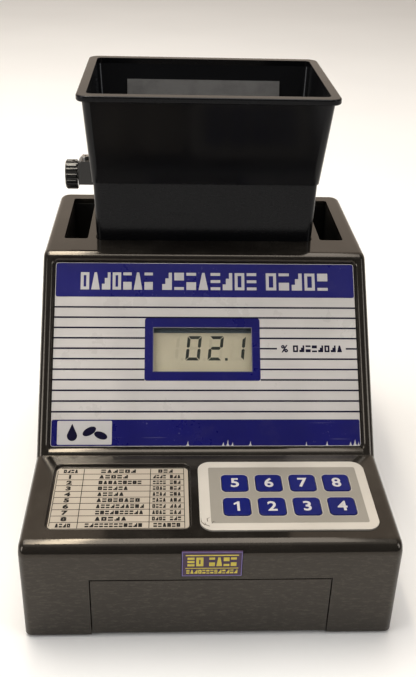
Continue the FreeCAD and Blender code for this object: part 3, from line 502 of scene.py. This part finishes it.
def panel_artwork():
    """Title and lower bands, thin lines, display surround, unit mark, icon and rubbed, chipped lower edge.
    """
    face = art_face("panel_overlay", (0, -1, 1))
    half, height = PANEL_HALF, PANEL_HEIGHT
    rim = FILM_RIM
    title_band = round_rect(-half + rim, TITLE_BAND_LOW, half - rim, height - rim, 1.1)
    lower_band = round_rect(-half + rim, rim, half - rim, LOWER_BAND_HIGH, 0.9)
    slab("panel_title_band", [[title_band]], face, INKS["navy"])
    slab("panel_lower_band", [[lower_band]], face, INKS["blue"])
    words = []
    for count, x0, x1, seed in ((7, -64.2, -26.5, 3), (8, -22.9, 26.6, 5), (5, 30.2, 63.4, 8)):
        words += marks(count, x0, x1, TITLE_LOW, TITLE_HIGH, TITLE_STROKE, seed)
    slab("panel_title_marks", words, face, INKS["white"], lift=INK)
    # display surround with its opening
    left, low, right, high = SURROUND
    window = rect(*WINDOW)
    surround = round_rect(left, low, right, high, 1.2)
    slab("panel_display_surround", [[surround, window]], face, INKS["blue"])
    slab("panel_window_edge", [[rect(*WINDOW_EDGE), window]], face, INKS["rim"], lift=INK)
    # thin lines, broken by the surround and by the unit mark
    lines = []
    for i in range(LINE_COUNT):
        y = LINE_TOP - LINE_PITCH * i
        spans = [(-half, half)]
        if low < y < high:
            spans = [(-half, left - 0.01), (right + 0.01, half)]
            if i == UNIT_LINE:
                spans = [(-half, left - 0.01), (right + 0.01, UNIT_GAP[0]), (UNIT_GAP[1], half)]
        lines += [[rect(x0, y - LINE_HALF, x1, y + LINE_HALF)] for x0, x1 in spans]
    slab("panel_lines", lines, face, INKS["line"])
    unit_y = LINE_TOP - LINE_PITCH * UNIT_LINE
    digits("panel_percent_sign", "%", 39.6, unit_y, 3.6, face, INKS["line"], bold=0.16)
    unit = marks(8, 43.6, 69.2, unit_y - 1.75, unit_y + 1.75, 0.85, 21)
    slab("panel_unit_marks", unit, face, INKS["line"])
    # icon box: a drop beside two grains
    slab("panel_icon_box", [[round_rect(*ICON_BOX)]], face, INKS["white"], lift=INK)
    drop_x, drop_y, drop_r, drop_tip = -66.0, 5.2, 2.5, 11.2
    drop = [(drop_x, drop_tip)]
    for degrees in range(120, -121, -12):
        a = math.radians(degrees)
        drop.append((drop_x + drop_r * math.sin(a), drop_y - drop_r * math.cos(a)))
    grains = [[ellipse(-57.6, 7.4, 3.6, 1.9, 0.5)], [ellipse(-52.0, 5.4, 3.4, 1.8, -0.35)]]
    slab("panel_icon", [[drop]] + grains, face, INKS["line"], lift=2 * INK)
    # splits in the film rising from its worn lower edge
    chips = []
    for x, w, h in CHIPS:
        chips.append([[(x - w / 2, 0.05), (x + w / 2, 0.05), (x + w * 0.22, h * 0.4), (x + w * 0.1, h),
                       (x - w * 0.12, h * 0.45)]])
    slab("panel_edge_chips", chips, face, INKS["white"], lift=INK)


# ---------------------------------------------------------------- display
FIGURES = {"0": "abcdef", "1": "bc", "2": "abdeg"}
FIGURE_LOW = 8.7             # lower edge of the figures on the glass
FIGURE_LEAN = math.tan(math.radians(6))
FIGURE_PLACES = ((-21.0, None), (-9.9, "0"), (1.3, "2"), (12.5, "1"))
POINT_PLACES = ((-0.9, False), (10.3, True), (-12.1, False))
FIGURE_SHIFT = 0.6           # keeps the leaning figures centred over their places
# lower and upper edge of the painted shade band at the top of the glass
SHADE_LOW, SHADE_HIGH = 22.9, 27.0


def segment_shapes(w, h, t, g):
    """Mitred bars of one seven-segment figure in a w by h box, t thick with gaps g."""
    mid = h / 2
    return {
        "a": [(g * 2, h), (w - g * 2, h), (w - t - g, h - t), (t + g, h - t)],
        "d": [(t + g, t), (w - t - g, t), (w - g * 2, 0), (g * 2, 0)],
        "g": [(t * 0.6 + g, mid), (t + g, mid + t / 2), (w - t - g, mid + t / 2), (w - t * 0.6 - g, mid),
              (w - t - g, mid - t / 2), (t + g, mid - t / 2)],
        "f": [(0, h - g * 2), (t, h - t - g), (t, mid + t / 2), (t / 2, mid + g), (0, mid + t / 2)],
        "b": [(w, h - g * 2), (w, mid + t / 2), (w - t / 2, mid + g), (w - t, mid + t / 2),
              (w - t, h - t - g)],
        "e": [(0, mid - t / 2), (t / 2, mid - g), (t, mid - t / 2), (t, t + g), (0, g * 2)],
        "c": [(w - t, mid - t / 2), (w - t / 2, mid - g), (w, mid - t / 2), (w, g * 2), (w - t, t + g)],
    }


def display_artwork():
    """Reading 02.1 in dark segments, the unlit segments, and a painted shade band along the glass's upper
    edge, standing in for the shadow and reflection of the window's upper edge.
    """
    face = art_face("lcd_glass", (0, -1, 1))
    glass_low, glass_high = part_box("lcd_glass")
    middle_x = (glass_low.x + glass_high.x) / 2 / MM
    low = FIGURE_LOW
    shapes = segment_shapes(7.2, 12.6, 1.55, 0.16)
    lit, ghost = [], []
    for place, figure in FIGURE_PLACES:
        x0 = place - middle_x - FIGURE_SHIFT
        for name, outline in shapes.items():
            if figure is None and name not in "bc":
                continue
            shape = [[(x0 + x + FIGURE_LEAN * y, low + y) for x, y in outline]]
            (lit if figure and name in FIGURES[figure] else ghost).append(shape)
    for place, on in POINT_PLACES:
        x0 = place - middle_x
        dot = [round_rect(x0 - 0.7, low - 0.1, x0 + 0.7, low + 1.3, 0.3, 3)]
        (lit if on else ghost).append(dot)
    slab("lcd_lit_segments", lit, face, INKS["segment"])
    slab("lcd_unlit_segments", ghost, face, INKS["ghost"])
    half = (glass_high.x - glass_low.x) / 2 / MM
    # painted shade band across the top of the glass, where the window's upper edge casts its shadow and
    # reflection
    slab("lcd_painted_top_shade", [[rect(-half + 1, SHADE_LOW, half - 1, SHADE_HIGH)]], face, INKS["top_shade"])


# ---------------------------------------------------------------- sample table
TABLE_HEIGHT = 43.2
TABLE_EDGE = 0.3             # from the label's edge to the first line
TABLE_COLUMNS = (-30.4, -18.1, 13.3, 29.0)
TABLE_LINE = 0.16            # half thickness of the ruled lines
WORD_HEIGHT = 2.55
# number of marks and length, or number of marks and both ends, of each word
TABLE_NAMES = ((5, 14.0), (9, 20.4), (6, 14.2), (5, 12.5), (8, 20.0), (10, 22.0), (10, 21.7), (5, 14.5))
TABLE_HEADER = ((4, -27.9, -20.9), (6, -10.4, 6.6), (3, 16.7, 24.1))
TABLE_FOOTER = ((4, -27.9, -20.9), (12, -15.0, 10.5), (6, 15.0, 27.2))


def table_artwork():
    """Ten rows and three columns: numbers 1 to 8, a name and a quantity as abstract marks."""
    face = art_face("table_label", (0, 0, 1))
    height, edge, columns, t = TABLE_HEIGHT, TABLE_EDGE, TABLE_COLUMNS, TABLE_LINE
    row = (height - 2 * edge) / 10
    lines = []
    for i in range(11):
        y = edge + i * row
        left = columns[0] + (1.4 if i in (0, 10) else 0.0)
        lines.append([rect(left, y - t, columns[-1] + t, y + t)])
    slab("table_rows", lines, face, INKS["black"])
    uprights = []
    for x in columns:
        low = 2.0 if x == columns[0] else 0.6
        for i in range(10):
            y0 = edge + i * row + 0.17
            y1 = edge + (i + 1) * row - 0.17
            if i == 0:
                y0 = low
            if i == 9:
                y1 = height - low
            uprights.append([rect(x - t, y0, x + t, y1)])
    slab("table_columns", uprights, face, INKS["black"])
    words = []
    for i, (count, length) in enumerate(TABLE_NAMES):
        low = edge + (8 - i) * row + 0.9
        high = low + WORD_HEIGHT
        digits("table_number_%d" % (i + 1), str(i + 1), -24.4, (low + high) / 2, 2.6, face, INKS["black"],
               bold=0.20, wide=1.35)
        words += marks(count, -11.0, -11.0 + length, low, high, 0.88, i + 30, SOLID_KINDS)
        words += marks(4, 14.4, 20.7, low, high, 0.72, i + 50, SOLID_KINDS)
        words += marks(3, 22.3, 27.6, low, high, 0.72, i + 70, SOLID_KINDS)
    for low, cells in ((edge + 9 * row + 0.9, TABLE_HEADER), (1.2, TABLE_FOOTER)):
        for count, x0, x1 in cells:
            words += marks(count, x0, x1, low, low + WORD_HEIGHT, 0.85, count + int(low), SOLID_KINDS)
    slab("table_marks", words, face, INKS["black"])


# ---------------------------------------------------------------- keypad
FIGURE_HEIGHT = 6.4
KEY_HOLE = (6.75, 2.6)       # half size and corner radius of the gap in the grey field around a key
RING_OUTER = (6.73, 2.6)
RING_INNER = (6.45, 2.3)
GREY_FIELD = (-34.85, 4.6, 35.45, 44.3, 1.0)
# the figure 1 on a unit height, with a plain slanted flag
ONE = ((0.00, -0.5), (0.19, -0.5), (0.19, 0.5), (0.06, 0.5), (-0.22, 0.31), (-0.22, 0.13), (0.00, 0.26))
CRACKS = ((-37.6, 3.4, 1.9, 5.0), (-36.4, 5.6, 1.2, 3.2), (-35.6, 2.6, 2.2, 3.6), (-34.6, 4.4, 0.4, 2.0))
CRACK_HALF = 0.17


def keypad_artwork():
    """Grey field and outlines around the keys, a white figure on each key, cracks in one corner."""
    face = art_face("keypad_overlay", (0, 0, 1))
    origin = face.translation
    holes = []
    rings = []
    for number in range(1, 9):
        node_name = "key_%d" % number
        key_face = art_face(node_name, (0, 0, 1))
        key_low, key_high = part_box(node_name)
        cx = (key_low.x + key_high.x) / 2
        cy = (key_low.y + key_high.y) / 2
        x = (cx - origin.x) / MM
        y = (cy - origin.y) / MM
        holes.append(square(x, y, *KEY_HOLE))
        rings.append([square(x, y, *RING_OUTER), square(x, y, *RING_INNER)])
        middle = (cy - key_face.translation.y) / MM
        figure = "key_number_%d" % number
        if number == 1:
            outline = [(u * FIGURE_HEIGHT, middle + v * FIGURE_HEIGHT) for u, v in ONE]
            slab(figure, [[outline]], key_face, INKS["white"], body=node_name)
        else:
            digits(figure, str(number), 0.0, middle, FIGURE_HEIGHT, key_face, INKS["white"],
                   body=node_name, bold=0.20)
    slab("keypad_field", [[round_rect(*GREY_FIELD)] + holes], face, INKS["grey"])
    slab("keypad_key_rings", rings, face, INKS["ring"])
    cracks = []
    for x, y, turn, length in CRACKS:
        a = Vector((math.cos(turn), math.sin(turn)))
        b = Vector((-a.y, a.x)) * CRACK_HALF
        p, q = Vector((x, y)), Vector((x, y)) + a * length
        bend = (p + q) / 2 + b * 5
        cracks.append([[tuple(v) for v in (p - b, bend - b, q, bend + b, p + b)]])
    slab("keypad_corner_cracks", cracks, face, INKS["grime"], lift=INK)


# ---------------------------------------------------------------- badge
BORDER_OUTER = (-12.95, 0.05, 12.95, 13.65)
BORDER_INNER = (-12.6, 0.4, 12.6, 13.3)
BADGE_RULES = ((-11.4, 11.5, 11.4, 12.1), (-11.4, 4.3, 11.4, 4.7))


def badge_artwork():
    """Border, two rules and two rows of abstract marks."""
    face = art_face("badge", (0, -1, 0))
    border = [[rect(*BORDER_OUTER), rect(*BORDER_INNER)]]
    slab("badge_border", border, face, INKS["violet"])
    yellow = [[rect(*rule)] for rule in BADGE_RULES]
    yellow += marks(2, -11.0, -3.4, 5.7, 10.6, 1.2, 2) + marks(4, -1.6, 10.8, 5.7, 10.6, 1.2, 9)
    yellow += marks(13, -11.2, 11.2, 1.5, 3.6, 0.5, 14)
    slab("badge_marks", yellow, face, INKS["yellow"])


panel_artwork()
display_artwork()
table_artwork()
keypad_artwork()
badge_artwork()


# ---------------------------------------------------------------- stage, light and camera
def stage():
    """Pale level floor."""
    mesh = bpy.data.meshes.new("floor")
    s = 8.0                  # half width, metres
    mesh.from_pydata([(-s, -s, 0), (s, -s, 0), (s, s, 0), (-s, s, 0)], [], [(0, 1, 2, 3)])
    floor = bpy.data.objects.new("floor", mesh)
    bpy.context.scene.collection.objects.link(floor)
    n = Nodes("pale_floor")
    n.link(n.mix(n.ramp(n.noise(3, 3), 0.3, 0.7), (0.88, 0.88, 0.88), (0.92, 0.92, 0.92)),
           n.bsdf.inputs["Base Color"])
    n.set(Roughness=0.7)
    mesh.materials.append(n.mat)


FRONT = (0.14, 0.135, 0.13, 1.0)
REAR_WALL = (0.75, 0.63, 0.52, 1.0)
OVERHEAD = (0.75, 0.73, 0.70, 1.0)


def studio():
    """Room light: dim towards the front, a bright warm wall behind the object, bright straight overhead."""
    world = bpy.data.worlds.new("studio")
    world.use_nodes = True
    tree = world.node_tree
    background = tree.nodes["Background"]
    direction = tree.nodes.new("ShaderNodeTexCoord").outputs["Generated"]
    split = tree.nodes.new("ShaderNodeSeparateXYZ")
    tree.links.new(direction, split.inputs[0])
    previous = None
    for axis, low, high, bright in (("Y", 0.05, 0.60, REAR_WALL), ("Z", 0.84, 0.97, OVERHEAD)):
        ramp = tree.nodes.new("ShaderNodeMapRange")
        ramp.interpolation_type = "SMOOTHSTEP"
        ramp.inputs["From Min"].default_value = low
        ramp.inputs["From Max"].default_value = high
        tree.links.new(split.outputs[axis], ramp.inputs["Value"])
        mix = tree.nodes.new("ShaderNodeMix")
        mix.data_type = "RGBA"
        tree.links.new(ramp.outputs[0], mix.inputs[0])
        if previous is None:
            mix.inputs[6].default_value = FRONT
        else:
            tree.links.new(previous, mix.inputs[6])
        mix.inputs[7].default_value = bright
        previous = mix.outputs[2]
    tree.links.new(previous, background.inputs["Color"])
    bpy.context.scene.world = world
    bpy.context.scene.view_settings.view_transform = "Standard"


def soft_light(name, place, aim, size, power, colour=(1, 1, 1)):
    """Rectangular lamp at `place`, turned towards `aim`."""
    data = bpy.data.lights.new(name, "AREA")
    data.shape = "RECTANGLE"
    data.size, data.size_y = size
    data.energy = power
    data.color = colour
    light = bpy.data.objects.new(name, data)
    light.location = place
    light.rotation_mode = "QUATERNION"
    light.rotation_quaternion = (Vector(aim) - Vector(place)).to_track_quat("-Z", "Y")
    bpy.context.scene.collection.objects.link(light)


def camera():
    """Seen from in front and above, slightly left of centre."""
    pitch, yaw, roll = (math.radians(a) for a in (29.06, 2.95, -1.61))
    data = bpy.data.cameras.new("camera")
    data.sensor_width = 36.0
    data.lens = 47.18
    cam = bpy.data.objects.new("camera", data)
    turn = Matrix.Rotation(-yaw, 4, "Z") @ Matrix.Rotation(math.pi / 2 - pitch, 4, "X")
    turn = turn @ Matrix.Rotation(-roll, 4, "Z")
    place = Vector((-0.0192, -0.3962, 0.3130))
    cam.matrix_world = Matrix.Translation(place) @ turn
    data.clip_start = 0.01
    bpy.context.scene.collection.objects.link(cam)
    bpy.context.scene.camera = cam


stage()
studio()
soft_light("ceiling_light", (-0.26, 0.30, 1.30), (-0.26, 0.30, 0.1), (1.20, 1.05), 14.0, (1.0, 0.97, 0.93))
soft_light("tube_light", (-0.21, 0.32, 1.25), (-0.21, 0.32, 0.1), (0.07, 1.05), 4.5, (1.0, 0.90, 0.72))
soft_light("left_light", (-1.40, -0.75, 0.85), (0, 0, 0.1), (0.6, 0.9), 8.5, (1.0, 0.98, 0.96))
soft_light("right_light", (1.30, -0.80, 0.95), (0, 0, 0.1), (0.6, 0.9), 7.0)
camera()
